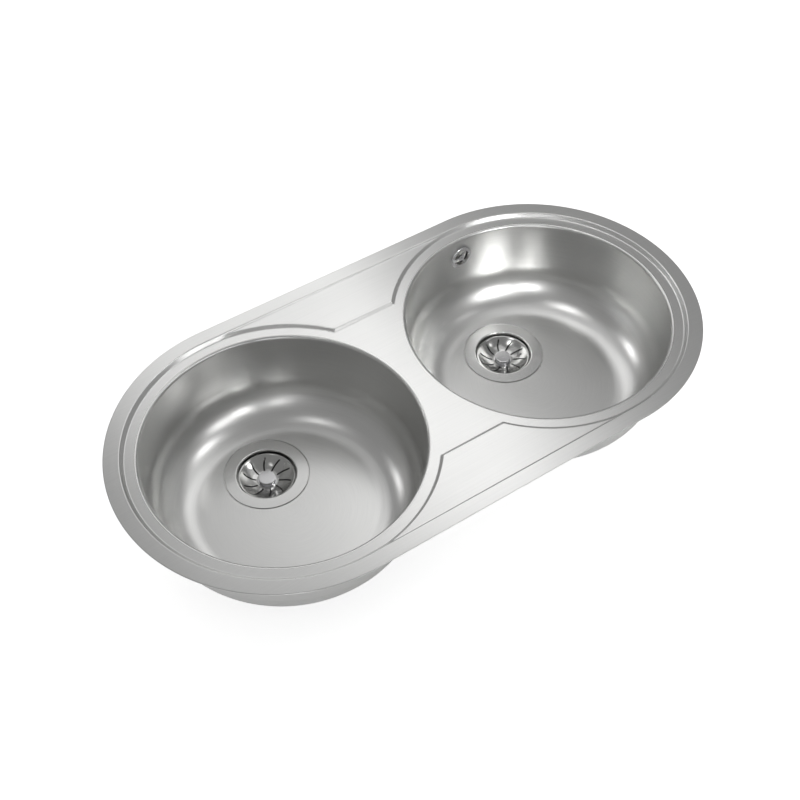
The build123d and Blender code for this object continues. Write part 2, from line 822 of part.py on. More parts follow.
def clip_planes():
    """Level planes at the clips' screws, X pointing out of the sink."""
    found = []
    for end in (-1, 1):
        centre = Vector(end * end_centre, 0, 0)
        for turn in (-clip_spread, 0, clip_spread):
            out = Vector(end * cos(turn), sin(turn), 0)
            found.append(Plane(origin=centre + out * clip_radius, x_dir=out, z_dir=upright))
    return found


def upright_plane(place):
    """The upright plane through a level plane's X axis: x stays x, and y is the height."""
    return Plane(origin=place.origin, x_dir=place.x_dir, z_dir=place.x_dir.cross(place.z_dir))


with BuildPart() as clip_brackets:
    for place in clip_planes():
        with BuildSketch(upright_plane(place)):
            with BuildLine():
                Polyline(
                    (-bracket_inner, ring_under),
                    (bracket_outer, ring_under),
                    (bracket_outer, ring_under - bracket_sheet),
                    (bracket_sheet - bracket_inner, ring_under - bracket_sheet),
                    (bracket_sheet - bracket_inner, foot_top),
                    (bracket_outer, foot_top),
                    (bracket_outer, foot_top - bracket_sheet),
                    (-bracket_inner, foot_top - bracket_sheet),
                    close=True,
                )
            make_face()
        extrude(amount=bracket_width / 2, both=True)
        with BuildSketch(place.offset(foot_top)):
            Circle(clip_screw_radius + screw_hole_clearance)
        extrude(amount=-bracket_sheet, mode=Mode.SUBTRACT)
clip_brackets.part.label = "clip_brackets"
export_step(clip_brackets.part, "parts/clip_brackets.step")

with BuildPart() as clip_nuts:
    for place in clip_planes():
        with BuildSketch(place.offset(foot_top)):
            RegularPolygon(nut_flats / 2, side_count=6, major_radius=False, rotation=30)
            Circle(clip_screw_radius + thread_clearance, mode=Mode.SUBTRACT)
        extrude(amount=nut_height)
clip_nuts.part.label = "clip_nuts"
export_step(clip_nuts.part, "parts/clip_nuts.step")


def clip_claw(place):
    """Bent plate with a round heel and a toothed toe, swung along the edge."""
    along = Plane(origin=place.origin, x_dir=place.y_dir, z_dir=upright)
    toe_top = claw_top + toe_height
    tooth_pitch = claw_width / toe_teeth
    toe_face = Plane(
        origin=along.origin + along.x_dir * (claw_reach - claw_sheet) + Vector(0, 0, toe_top),
        x_dir=along.y_dir,
        z_dir=along.x_dir,
    )
    with BuildPart() as claw:
        with BuildSketch(upright_plane(along)):
            with BuildLine():
                Polyline(
                    (0, claw_bottom),
                    (claw_reach, claw_bottom),
                    (claw_reach, toe_top),
                    (claw_reach - claw_sheet, toe_top),
                    (claw_reach - claw_sheet, claw_top),
                    (0, claw_top),
                    close=True,
                )
            make_face()
        extrude(amount=claw_width / 2, both=True)
        with BuildSketch(along.offset(claw_bottom)):
            Circle(claw_width / 2)
        extrude(amount=claw_sheet)
        with BuildSketch(along.offset(claw_bottom)):
            Circle(clip_screw_radius + screw_hole_clearance)
        extrude(amount=claw_sheet, mode=Mode.SUBTRACT)
        with BuildSketch(toe_face):
            with GridLocations(tooth_pitch, 0, toe_teeth - 1, 1):
                Polygon((-tooth_pitch / 2, 0), (0, -tooth_depth), (tooth_pitch / 2, 0), align=None)
        extrude(amount=claw_sheet, mode=Mode.SUBTRACT)
    return claw


def clip_screw(place):
    """Screw from under a washer up into the bracket's nut."""
    head_bottom = head_top - screw_head
    shape = turned(
        place.origin,
        [
            (0, head_bottom),
            (screw_head_radius, head_bottom),
            (screw_head_radius, head_top),
            (clip_screw_radius, head_top),
            (clip_screw_radius, screw_tip),
            (0, screw_tip),
        ],
    )
    with BuildPart() as screw:
        add(shape.part)
        with BuildSketch(place.offset(head_bottom)):
            RegularPolygon(screw_recess_radius, side_count=6)
        extrude(amount=screw_recess, mode=Mode.SUBTRACT)
    return screw


for number, place in enumerate(clip_planes(), start=1):
    washer_bore = clip_screw_radius + screw_hole_clearance
    clip_pieces = {
        "clip_claw": clip_claw(place),
        "clip_washer": washer(place.origin, washer_bore, washer_radius, head_top, claw_bottom),
        "clip_screw": clip_screw(place),
    }
    for kind, piece in clip_pieces.items():
        piece.part.label = f"{kind}_{number}"
        export_step(piece.part, f"parts/{kind}_{number}.step")
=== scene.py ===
import json
from math import asin, atan2, ceil, cos, pi, radians, sin, sqrt, tan

import bpy
import numpy as np
from mathutils import Matrix, Vector
from mathutils.geometry import delaunay_2d_cdt


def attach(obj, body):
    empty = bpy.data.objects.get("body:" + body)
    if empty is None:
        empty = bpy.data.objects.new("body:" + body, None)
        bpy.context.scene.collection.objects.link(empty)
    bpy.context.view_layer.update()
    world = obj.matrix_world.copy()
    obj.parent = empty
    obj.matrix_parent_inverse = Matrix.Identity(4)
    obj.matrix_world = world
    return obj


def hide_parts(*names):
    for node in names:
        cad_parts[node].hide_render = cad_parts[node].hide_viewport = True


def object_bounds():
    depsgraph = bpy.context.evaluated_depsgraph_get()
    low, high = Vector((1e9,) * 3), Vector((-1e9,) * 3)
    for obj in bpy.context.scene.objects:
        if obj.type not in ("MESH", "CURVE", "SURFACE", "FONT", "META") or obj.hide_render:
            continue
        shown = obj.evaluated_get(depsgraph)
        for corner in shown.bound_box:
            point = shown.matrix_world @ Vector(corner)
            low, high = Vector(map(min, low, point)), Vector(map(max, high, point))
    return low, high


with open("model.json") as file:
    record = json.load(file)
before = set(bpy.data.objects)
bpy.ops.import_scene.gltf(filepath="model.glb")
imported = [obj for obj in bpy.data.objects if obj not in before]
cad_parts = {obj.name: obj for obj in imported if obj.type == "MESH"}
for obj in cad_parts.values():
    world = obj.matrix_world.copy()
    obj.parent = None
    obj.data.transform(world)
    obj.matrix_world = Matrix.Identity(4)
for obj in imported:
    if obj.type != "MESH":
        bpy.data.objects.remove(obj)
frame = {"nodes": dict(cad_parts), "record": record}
cad_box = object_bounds()

# Sizes are in millimetres, as on the object's drawing, and become metres in new_piece.
MM = 0.001
SIDES = {"left": -1, "right": 1}

# ---------------------------------------------------------------- sizes
sheet = 0.8
rim_top = 1.4
ring_top = -3.9
panel_top = -0.6
end_centre = 200.0
end_radius = 220.0
rim_inner = 200.0
rim_foot = 195.2
panel_edge = 127.5
panel_foot = 123.9
panel_ring = 200.0
panel_ring_foot = 196.4
panel_meets_rim = 198.2  # the radius where the rim's step is as high as the panels
ring_start = 118.0  # the rings' lines begin this far from the long middle line
line_overlap = 3.0
step_blend = 0.9
hair = 0.01  # what lies this close to a border still counts as inside it
rim_edge_round = 1.1

bowl_x = 199.2
bowl_radius = 179.1
bowl_hole = 183.8
bowl_draft = 1.0
floor_edge = -138.0
floor_middle = -139.2
floor_round = 60.5
mouth_round = 4.0
drain_y = 63.6
floor_join = 132.0  # the fine map of the floor ends here
recess_radius = 58.0
recess_edge_round = 0.5
seat_top = -140.8
waste_hole = 45.0

overflow_z = -37.1
overflow_hole = 13.0
overflow_reach = 10  # degrees each side of the overflow's axis

strainer_radius = 38.5
strainer_rim = -143.6
strainer_rim_drop = 2.2
strainer_land = 36.9
dish_radius = 13.6
dish_top = -153.6
dish_power = 1.7
stem_bore = 4.1
slot_count = 10
slot_width = 2.2
slot_start = 16.0
slot_curve = 28.0
slot_turn = radians(35)
slot_phase = radians(2)

hose_top = (195.52, -57.1)  # y and z
hose_end = (113.0, -162.6)
hose_bend = 55.0
hose_bore = 9.5
hose_valley = 10.8
hose_crest = 12.4
rib_count = 35
rib_pitch = 3.2
rib_width = 2.1
rib_fullness = 0.6
first_rib = 26.2

seal_inner = 206.0
seal_outer = 216.0
seal_height = 0.6
pad_length = 150.0
pad_width = 70.0
pad_setback = -48.0
pad_corner = 12.0
pad_thickness = 2.5
pad_glue = 0.1
pad_round = 1.2


# ---------------------------------------------------------------- mesh helpers
def new_piece(name, points, faces, normals=None, body="root", replaces=()):
    """A mesh in the row frame from points in millimetres, riding on a body."""
    mesh = bpy.data.meshes.new(name)
    mesh.from_pydata((np.asarray(points, float) * MM).tolist(), [], faces)
    mesh.update()
    mesh.shade_smooth()
    if normals is not None:
        mesh.normals_split_custom_set_from_vertices(normals)
    piece = bpy.data.objects.new(name, mesh)
    bpy.context.scene.collection.objects.link(piece)
    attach(piece, body)
    if replaces:
        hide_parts(*replaces)
    return piece


class Skin:
    """Points, faces and normals of one piece, gathered from several surfaces."""

    def __init__(self):
        self.points = []
        self.normals = []
        self.faces = []

    def add(self, points, normals, faces):
        """Add a surface, each face wound so that it looks the way its normals do."""
        start = len(self.points)
        points = np.asarray(points, float)
        normals = np.asarray(normals, float)
        faces = np.asarray(faces)
        corners = points[faces]
        facing = np.cross(corners[:, 2] - corners[:, 0], corners[:, -1] - corners[:, 1])
        backward = (facing * normals[faces].sum(axis=1)).sum(axis=1) < 0
        faces = np.where(backward[:, None], faces[:, ::-1], faces)
        self.points.extend(points.tolist())
        self.normals.extend(normals.tolist())
        self.faces.extend((start + faces).tolist())

    def piece(self, name, **options):
        return new_piece(name, self.points, self.faces, self.normals, **options)


def filleted(corners, radii, step=6.0):
    """Points and normals along a section's polyline with its corners rounded; normals point left."""
    corners = [np.array(c, float) for c in corners]
    path = []
    count = len(corners)
    for i, corner in enumerate(corners):
        radius = radii[i] if 0 < i < count - 1 else 0
        before = corner - corners[i - 1] if i else None
        after = corners[i + 1] - corner if i < count - 1 else None
        if radius:
            u = before / np.linalg.norm(before)
            v = after / np.linalg.norm(after)
            turn = atan2(u[0] * v[1] - u[1] * v[0], float(u @ v))
            reach = radius * tan(abs(turn) / 2)
            side = 1 if turn > 0 else -1
            centre = corner - u * reach + side * radius * np.array([-u[1], u[0]])
            steps = max(2, ceil(abs(turn) / radians(step)))
            first = -side * np.array([-u[1], u[0]])
            for k in range(steps + 1):
                angle = turn * k / steps
                c, s = cos(angle), sin(angle)
                spoke = np.array([c * first[0] - s * first[1], s * first[0] + c * first[1]])
                path.append((centre + radius * spoke, -side * spoke))
        else:
            for leg in (before, after):
                if leg is not None:
                    u = leg / np.linalg.norm(leg)
                    path.append((corner, np.array([-u[1], u[0]])))
    return path


def swept(skin, bases, headings, path, closed=True):
    """Sweep a section (radius, height) along bases, each looking along its level heading."""
    rows, normals = [], []
    for point, normal in path:
        for base, heading in zip(bases, headings):
            rows.append((base[0] + heading[0] * point[0], base[1] + heading[1] * point[0], point[1]))
            normals.append((heading[0] * normal[0], heading[1] * normal[0], normal[1]))
    width = len(bases)
    faces = []
    for i in range(len(path) - 1):
        if np.linalg.norm(path[i + 1][0] - path[i][0]) < 1e-7:
            continue
        for j in range(width if closed else width - 1):
            k = (j + 1) % width
            faces.append((i * width + j, (i + 1) * width + j, (i + 1) * width + k, i * width + k))
    skin.add(rows, normals, faces)


def circle_run(centre, count):
    """Bases and headings of a circle about a vertical axis."""
    angles = [2 * pi * i / count for i in range(count)]
    return [centre] * count, [(cos(a), sin(a)) for a in angles]


def stadium_run(count=160, straight=40):
    """Bases and headings once round the deck's long shape."""
    bases, headings = [], []
    for end in (1, -1):
        for i in range(count + 1):
            angle = -pi / 2 + pi * i / count + (0 if end > 0 else pi)
            bases.append((end * end_centre, 0))
            headings.append((cos(angle), sin(angle)))
        for i in range(1, straight):
            bases.append((end * end_centre * (1 - 2 * i / straight), 0))
            headings.append((0, end))
    return bases, headings


def triangulated(lines, keep):
    """Triangles of a flat map between its lines, without those that keep() refuses."""
    points, edges = [], []
    for line, closed in lines:
        start = len(points)
        points.extend(Vector((float(u), float(v))) for u, v in line)
        edges.extend((start + i, start + i + 1) for i in range(len(line) - 1))
        if closed:
            edges.append((len(points) - 1, start))
    found = delaunay_2d_cdt(points, edges, [], 0, 1e-5)
    flat = np.array([tuple(v) for v in found[0]])
    triangles = np.array([tuple(f) for f in found[2]])
    middle = flat[triangles].mean(axis=1)
    return flat, triangles[keep(middle[:, 0], middle[:, 1])]


def lifted(height, step=0.02):
    """A function that puts plan points at height(x, y) and gives the surface's normals there."""

    def place(x, y):
        dx = (height(x + step, y) - height(x - step, y)) / (2 * step)
        dy = (height(x, y + step) - height(x, y - step)) / (2 * step)
        normals = np.stack([-dx, -dy, np.ones_like(dx)], axis=1)
        normals /= np.linalg.norm(normals, axis=1)[:, None]
        return np.stack([x, y, height(x, y)], axis=1), normals

    return place


def laid(skin, lines, keep, place, thickness):
    """A sheet over the map's triangles, on the surface that place(u, v) gives."""
    flat, triangles = triangulated(lines, keep)
    top, normals = place(flat[:, 0], flat[:, 1])
    skin.add(top, normals, triangles)
    skin.add(top - thickness * normals, -normals, triangles)


def walled(skin, upper, lower, facing):
    """A closed wall between two lines with the same number of points."""
    count = len(upper)
    after = [(j + 1) % count for j in range(count)]
    faces = [(j, after[j], after[j] + count, j + count) for j in range(count)]
    skin.add(np.concatenate([upper, lower]), np.concatenate([facing, facing]), faces)


def cut_edge(skin, line, place, thickness):
    """The wall of a hole in a laid sheet, along its closed line, which runs counter-clockwise."""
    line = np.asarray(line, float)
    top, normals = place(line[:, 0], line[:, 1])
    along = np.roll(top, -1, axis=0) - np.roll(top, 1, axis=0)
    facing = np.cross(normals, along)
    facing /= np.linalg.norm(facing, axis=1)[:, None]
    walled(skin, top, top - thickness * normals, facing)


def ring_line(centre, radius, count):
    """A closed circle in the plan."""
    angles = np.arange(count) * 2 * pi / count
    return centre + radius * np.stack([np.cos(angles), np.sin(angles)], axis=1), True


def smooth_min(a, b, blend):
    """The lower of two heights, with their crossing rounded off."""
    h = np.clip(blend - np.abs(a - b), 0, None) / blend
    return np.minimum(a, b) - h * h * blend / 4


def smooth_max(a, b, blend):
    """The higher of two heights, with their crossing rounded off."""
    return -smooth_min(-a, -b, blend)


# ---------------------------------------------------------------- deck
def along_distance(x, y):
    """Distance from the deck's long middle line."""
    return np.hypot(np.clip(np.abs(x) - end_centre, 0, None), y)


def deck_height(x, y):
    """The pressed deck: rim, step, rings, two panels and the flat between the bowls."""
    r = along_distance(x, y)
    ring_r = np.hypot(np.abs(x) - end_centre, y)
    rim_slope = (rim_top - ring_top) / (rim_inner - rim_foot)
    wall_slope = (panel_top - ring_top) / (panel_edge - panel_foot)
    well = smooth_max(ring_top, ring_top + (r - rim_foot) * rim_slope, step_blend)
    well = smooth_min(rim_top, well, step_blend)
    round_wall = ring_top + (ring_r - panel_ring_foot) * wall_slope
    straight_wall = ring_top + (np.abs(y) - panel_foot) * wall_slope
    panel = smooth_min(panel_top, smooth_min(round_wall, straight_wall, step_blend), step_blend)
    return smooth_max(well, panel, step_blend)


def stadium_line(radius, spacing=3.0):
    """A closed line round the deck's long shape, at a radius about its end centres."""
    steps = max(24, int(pi * radius / spacing))
    bases, headings = stadium_run(steps, int(2 * end_centre / spacing))
    return [(b[0] + h[0] * radius, b[1] + h[1] * radius) for b, h in zip(bases, headings)], True


def deck_lines():
    """Plan lines of the deck, closer together where it bends."""
    bend = np.array([-1.1, -0.75, -0.4, 0.0, 0.4, 0.75, 1.1])
    lines = [stadium_line(end_radius - rim_edge_round), stadium_line(rim_foot - 4)]
    for radius in (rim_inner, rim_foot):
        lines += [stadium_line(radius + d) for d in bend]
    lines += [stadium_line(panel_meets_rim + d) for d in bend[1:-1]]
    for side in SIDES.values():
        centre = (side * bowl_x, 0)
        lines.append(ring_line(centre, bowl_hole, 720))
        for radius in np.concatenate([panel_ring + bend, panel_ring_foot + bend]):
            angles = np.linspace(asin(ring_start / radius), pi / 2, 120)
            for front in (-1, 1):
                arc = [(side * (end_centre - radius * cos(a)), front * radius * sin(a)) for a in angles]
                lines.append((arc, False))
    for edge in np.concatenate([panel_edge + bend, panel_foot + bend]):
        reach = end_centre - sqrt(panel_ring_foot**2 - edge**2) + line_overlap
        for front in (-1, 1):
            lines.append(([(x, front * edge) for x in np.linspace(-reach, reach, 40)], False))
    return lines


def on_deck(x, y):
    """Where the pressed sheet is: inside its rounded edge and outside both bowls' holes."""
    inside = along_distance(x, y) < end_radius - rim_edge_round + hair
    for side in SIDES.values():
        inside &= np.hypot(x - side * bowl_x, y) > bowl_hole - hair
    return inside


def make_deck():
    """The pressed sheet with its outer edge turned down."""
    skin = Skin()
    laid(skin, deck_lines(), on_deck, lifted(deck_height), sheet)
    lip = filleted(
        [
            (end_radius - rim_edge_round, rim_top - sheet),
            (end_radius - sheet, rim_top - sheet),
            (end_radius - sheet, 0),
            (end_radius, 0),
            (end_radius, rim_top),
            (end_radius - rim_edge_round, rim_top),
        ],
        [0, 0.2, 0.25, 0.25, rim_edge_round, 0],
    )
    bases, headings = stadium_run()
    swept(skin, bases, headings, [(p, -n) for p, n in lip])
    return skin.piece("pressed_deck", replaces=["deck"])


# ---------------------------------------------------------------- bowls
slope = tan(radians(bowl_draft))
foot_radius = bowl_radius - slope * (ring_top - floor_edge)
bowl_section = filleted(
    [(0, floor_middle), (foot_radius, floor_edge), (bowl_radius, ring_top), (bowl_hole, ring_top)],
    [0, floor_round, mouth_round, 0],
    step=2.0,
)
fall = (floor_edge - floor_middle) / foot_radius
fillet_start = float(bowl_section[1][0][0])


def fine_floor(x, y):
    """Height of the bowl's floor and of its fillet's exact arc, from the bowl's axis outwards."""
    r = np.hypot(x, y)
    past = np.clip(r - fillet_start, 0, None)
    lift = floor_round - np.sqrt(np.clip(floor_round**2 - past**2, 0, None))
    return floor_middle + fall * r + lift


def upper_bowl():
    """The bowl's section outside its fine floor: points and normals, from the floor up to the deck."""
    section = [(p, n) for p, n in bowl_section if p[0] > floor_join]
    height = float(fine_floor(np.array([floor_join]), np.array([0.0]))[0])
    tilt = asin((floor_join - fillet_start) / floor_round)
    section.insert(0, (np.array([floor_join, height]), np.array([-sin(tilt), cos(tilt)])))
    apart = [b for a, b in zip(section, section[1:]) if np.linalg.norm(b[0] - a[0]) > 1e-6]
    return [section[0]] + apart


def overflow_patch(skin, centre, section):
    """The part of the wall round the overflow's hole, on a map of (across, up the section)."""
    points = np.array([p for p, _ in section])
    normals = np.array([n for _, n in section])
    climb = np.concatenate([[0], np.cumsum(np.linalg.norm(np.diff(points, axis=0), axis=1))])

    def place(u, v):
        radius = np.interp(v, climb, points[:, 0])
        height = np.interp(v, climb, points[:, 1])
        facing = np.stack([np.interp(v, climb, normals[:, i]) for i in (0, 1)])
        facing /= np.linalg.norm(facing, axis=0)
        angle = pi / 2 - u / bowl_radius
        level = np.stack([np.cos(angle), np.sin(angle)])
        at = np.stack([centre + radius * level[0], radius * level[1], height], axis=1)
        return at, np.stack([facing[0] * level[0], facing[0] * level[1], facing[1]], axis=1)

    def ring(size, count=96):
        angles = np.arange(count) * 2 * pi / count
        up = overflow_z + size * np.sin(angles)
        v = np.interp(up, points[:, 1], climb)
        across = size * np.cos(angles) / np.interp(v, climb, points[:, 0])
        return np.stack([bowl_radius * np.arcsin(across), v], axis=1)

    steps = np.radians(np.arange(-overflow_reach, overflow_reach + 1)) * bowl_radius
    lines = [([(u, v) for u in steps], False) for v in climb]
    lines += [([(u, v) for v in climb], False) for u in (steps[0], steps[-1])]
    lines += [(ring(overflow_hole + d), True) for d in (0, 1, 3)]
    middle = float(np.interp(overflow_z, points[:, 1], climb))
    laid(skin, lines, lambda u, v: np.hypot(u, v - middle) > overflow_hole, place, sheet)
    cut_edge(skin, ring(overflow_hole), place, sheet)


def make_bowl(side):
    """Inner and outer face of one drawn bowl, with the recess for the waste flange."""
    cx = SIDES[side] * bowl_x
    skin = Skin()
    upper = upper_bowl()
    outer = [(p - sheet * n, -n) for p, n in upper]
    bases, headings = circle_run((cx, 0), 360)
    edge = [(upper[-1][0], np.array([1.0, 0.0])), (outer[-1][0], np.array([1.0, 0.0]))]
    swept(skin, bases, headings, edge)
    whole = side == "left"
    if not whole:
        overflow_patch(skin, cx, upper)
        angles = [radians(a) for a in range(90 + overflow_reach, 451 - overflow_reach)]
        bases = bases[: len(angles)]
        headings = [(cos(a), sin(a)) for a in angles]
    swept(skin, bases, headings, upper, closed=whole)
    swept(skin, bases, headings, outer, closed=whole)

    def floor(x, y):
        near = np.hypot(x - cx, y - drain_y) - recess_radius
        within = np.clip(recess_edge_round - near, 0, recess_edge_round)
        drop = recess_edge_round - np.sqrt(np.clip(recess_edge_round**2 - within**2, 0, None))
        return fine_floor(x - cx, y) - drop

    def inside(x, y):
        return (np.hypot(x - cx, y) < floor_join) & (np.hypot(x - cx, y - drain_y) > recess_radius)

    lines = [ring_line((cx, 0), floor_join, 360)]
    lines += [ring_line((cx, 0), r, 180) for r in (30, 60, 90, 105, 112, 117, 120, 123, 126, 129)]
    lines += [ring_line((cx, drain_y), recess_radius + d, 240) for d in (0.0, 0.12, 0.25, 0.38, 0.5, 1.5)]
    laid(skin, lines, inside, lifted(floor, 0.05), sheet)
    recess = filleted(
        [
            (recess_radius, floor_middle),
            (recess_radius, seat_top),
            (waste_hole, seat_top),
            (waste_hole, seat_top - sheet),
            (recess_radius + sheet, seat_top - sheet),
            (recess_radius + sheet, floor_middle - sheet),
        ],
        [0, 0.3, 0.1, 0.1, 0.9, 0],
    )
    bases, headings = circle_run((cx, drain_y), 240)
    swept(skin, bases, headings, [(p, -n) for p, n in recess])
    return skin.piece(f"{side}_bowl_shell", replaces=[f"bowl_{side}"])


# ---------------------------------------------------------------- strainers
def slot_middle(number, along):
    """A point on the middle line of a slot, from 0 at its inner end to 1."""
    turn = slot_phase + number * 2 * pi / slot_count
    x = slot_start + slot_curve * sin(along * slot_turn)
    y = -slot_curve * (1 - cos(along * slot_turn))
    return cos(turn) * x - sin(turn) * y, sin(turn) * x + cos(turn) * y


def slot_outline(number):
    """The closed line round a slot, counter-clockwise."""
    along = np.linspace(0, 1, 15)
    middle = np.array([slot_middle(number, t) for t in along])
    ahead = np.gradient(middle, axis=0)
    ahead /= np.linalg.norm(ahead, axis=1)[:, None]
    aside = np.stack([ahead[:, 1], -ahead[:, 0]], axis=1) * slot_width / 2
    end_turn = np.linspace(-pi / 2, pi / 2, 7)[1:-1]
    caps = []
    for i, sense in ((-1, 1), (0, -1)):
        u, w = ahead[i] * sense * slot_width / 2, -aside[i] * sense
        caps.append([middle[i] + cos(a) * u + sin(a) * w for a in end_turn])
    return np.concatenate([middle + aside, caps[0], (middle - aside)[::-1], caps[1]])


def make_strainer(side):
    """Dished disc with curved slots and a turned down rim."""
    centre = np.array([SIDES[side] * bowl_x, drain_y])
    slots = [centre + slot_outline(number) for number in range(slot_count)]
    middles = np.array([slot_middle(n, t) for n in range(slot_count) for t in np.linspace(0, 1, 60)])

    def height(x, y):
        r = np.hypot(x - centre[0], y - centre[1])
        share = np.clip((r - dish_radius) / (strainer_land - dish_radius), 0, None)
        return smooth_min(dish_top + (strainer_rim - dish_top) * share**dish_power, strainer_rim, 1.0)

    def inside(x, y):
        flat = np.stack([x, y], axis=1) - centre
        r = np.linalg.norm(flat, axis=1)
        near = np.min(np.linalg.norm(flat[:, None] - middles[None], axis=2), axis=1)
        return (r < strainer_radius - sheet) & (r > stem_bore) & (near > slot_width / 2 - hair)

    skin = Skin()
    rings = (stem_bore, 9, 12, 14, 16, 18, 21, 24, 27, 30, 33, 35, 36, 36.5, 37, strainer_radius - sheet)
    lines = [ring_line(centre, r, 180) for r in rings] + [(slot, True) for slot in slots]
    place = lifted(height)
    laid(skin, lines, inside, place, sheet)
    for slot in slots:
        cut_edge(skin, slot, place, sheet)
    rim = filleted(
        [
            (strainer_radius - sheet, strainer_rim),
            (strainer_radius, strainer_rim),
            (strainer_radius, strainer_rim - strainer_rim_drop),
            (strainer_radius - sheet, strainer_rim - strainer_rim_drop),
            (strainer_radius - sheet, strainer_rim - sheet),
        ],
        [0, 0.7, 0.2, 0.2, 0],
    )
    bases, headings = circle_run(tuple(centre), 180)
    swept(skin, bases, headings, rim)
    return skin.piece(f"{side}_strainer_disc", body=f"strainer_{side}", replaces=[f"strainer_{side}"])


# ---------------------------------------------------------------- hose, seal and pads
hose_drop = hose_top[1] - hose_end[1] - hose_bend
hose_arc = hose_bend * pi / 2
hose_length = hose_drop + hose_arc + hose_top[0] - hose_bend - hose_end[0]


def hose_route(distance):
    """Place and heading in (y, z) on the hose's middle line: down, round the bend and forward."""
    if distance <= hose_drop:
        return (hose_top[0], hose_top[1] - distance), (0.0, -1.0)
    if distance <= hose_drop + hose_arc:
        turn = (distance - hose_drop) / hose_bend
        y = hose_top[0] - hose_bend * (1 - cos(turn))
        z = hose_end[1] + hose_bend * (1 - sin(turn))
        return (y, z), (-sin(turn), -cos(turn))
    return (hose_top[0] - hose_bend - (distance - hose_drop - hose_arc), hose_end[1]), (-1.0, 0.0)


def make_hose():
    """Ribbed hose: a bore, plain cuffs at both ends and rounded ribs between them."""
    stations = [(0.0, hose_bore), (0.0, hose_valley)]
    for rib in range(rib_count):
        foot = first_rib + rib * rib_pitch
        for share in np.linspace(0, 1, 9):
            bulge = sin(pi * share) ** rib_fullness
            stations.append((foot + rib_width * share, hose_valley + (hose_crest - hose_valley) * bulge))
    stations += [(hose_length, hose_valley), (hose_length, hose_bore)]
    stations += [(d, hose_bore) for d in np.linspace(hose_length, 0, 61)[1:]]
    sides = 48
    points, faces = [], []
    for distance, radius in stations:
        (y, z), (ahead_y, ahead_z) = hose_route(distance)
        for j in range(sides):
            turn = 2 * pi * j / sides
            across, out = radius * cos(turn), radius * sin(turn)
            points.append((bowl_x + across, y - out * ahead_z, z + out * ahead_y))
    for i in range(len(stations) - 1):
        for j in range(sides):
            k = (j + 1) % sides
            faces.append((i * sides + j, i * sides + k, (i + 1) * sides + k, (i + 1) * sides + j))
    hose = new_piece("ribbed_hose", points, faces, replaces=["overflow_hose"])
    hose.data.set_sharp_from_angle(angle=radians(60))
    return hose


def make_seal():
    """Foam strip under the rim, crowned where it is free and flat where it is glued."""
    skin = Skin()
    strip = filleted(
        [
            (seal_inner, 0),
            (seal_outer, 0),
            (seal_outer, seal_height),
            (seal_inner, seal_height),
            (seal_inner, 0),
        ],
        [0, 0.25, 0.1, 0.1, 0],
    )
    bases, headings = stadium_run(120, 30)
    swept(skin, bases, headings, [(p, -n) for p, n in strip])
    return skin.piece("foam_strip", replaces=["rim_seal"])


def make_pad(side):
    """Soft mat under the bowl's floor, with a rounded free edge."""
    cx = SIDES[side] * bowl_x
    inner = np.array([pad_length, pad_width]) / 2 - pad_corner

    def outline(inset):
        line = []
        for k, corner in enumerate(((1, 1), (-1, 1), (-1, -1), (1, -1))):
            for a in np.linspace(0, pi / 2, 9) + k * pi / 2:
                line.append(corner * inner + (pad_corner - inset) * np.array([cos(a), sin(a)]))
        return np.array(line) + (cx, pad_setback)

    def edge_gap(x, y):
        away = np.abs(np.stack([x - cx, y - pad_setback])) - inner[:, None]
        return pad_corner - np.hypot(*np.clip(away, 0, None))

    def top(x, y):
        return floor_middle + fall * np.hypot(x - cx, y) - sheet - pad_glue

    def bottom(x, y):
        near = np.clip(1 - edge_gap(x, y) / pad_round, 0, 0.98)
        return top(x, y) - pad_thickness + pad_round * (1 - np.sqrt(1 - near**2))

    lines = [(outline(d), True) for d in (0, 0.05, 0.2, 0.5, 0.9, 1.4, 6, 14)]
    skin = Skin()
    flat, triangles = triangulated(lines, lambda x, y: edge_gap(x, y) > 0)
    for height, sense in ((top, 1), (bottom, -1)):
        at, normals = lifted(height, 0.05)(flat[:, 0], flat[:, 1])
        skin.add(at, sense * normals, triangles)
    rim = outline(0)
    upper, lower = (np.column_stack([rim, height(rim[:, 0], rim[:, 1])]) for height in (top, bottom))
    walled(skin, upper, lower, np.column_stack([rim - outline(1), np.zeros(len(rim))]))
    return skin.piece(f"{side}_sound_mat", replaces=[f"sound_pad_{side}"])


deck = make_deck()
bowls = {side: make_bowl(side) for side in SIDES}
strainers = {side: make_strainer(side) for side in SIDES}
hose = make_hose()
seal = make_seal()
pads = {side: make_pad(side) for side in SIDES}


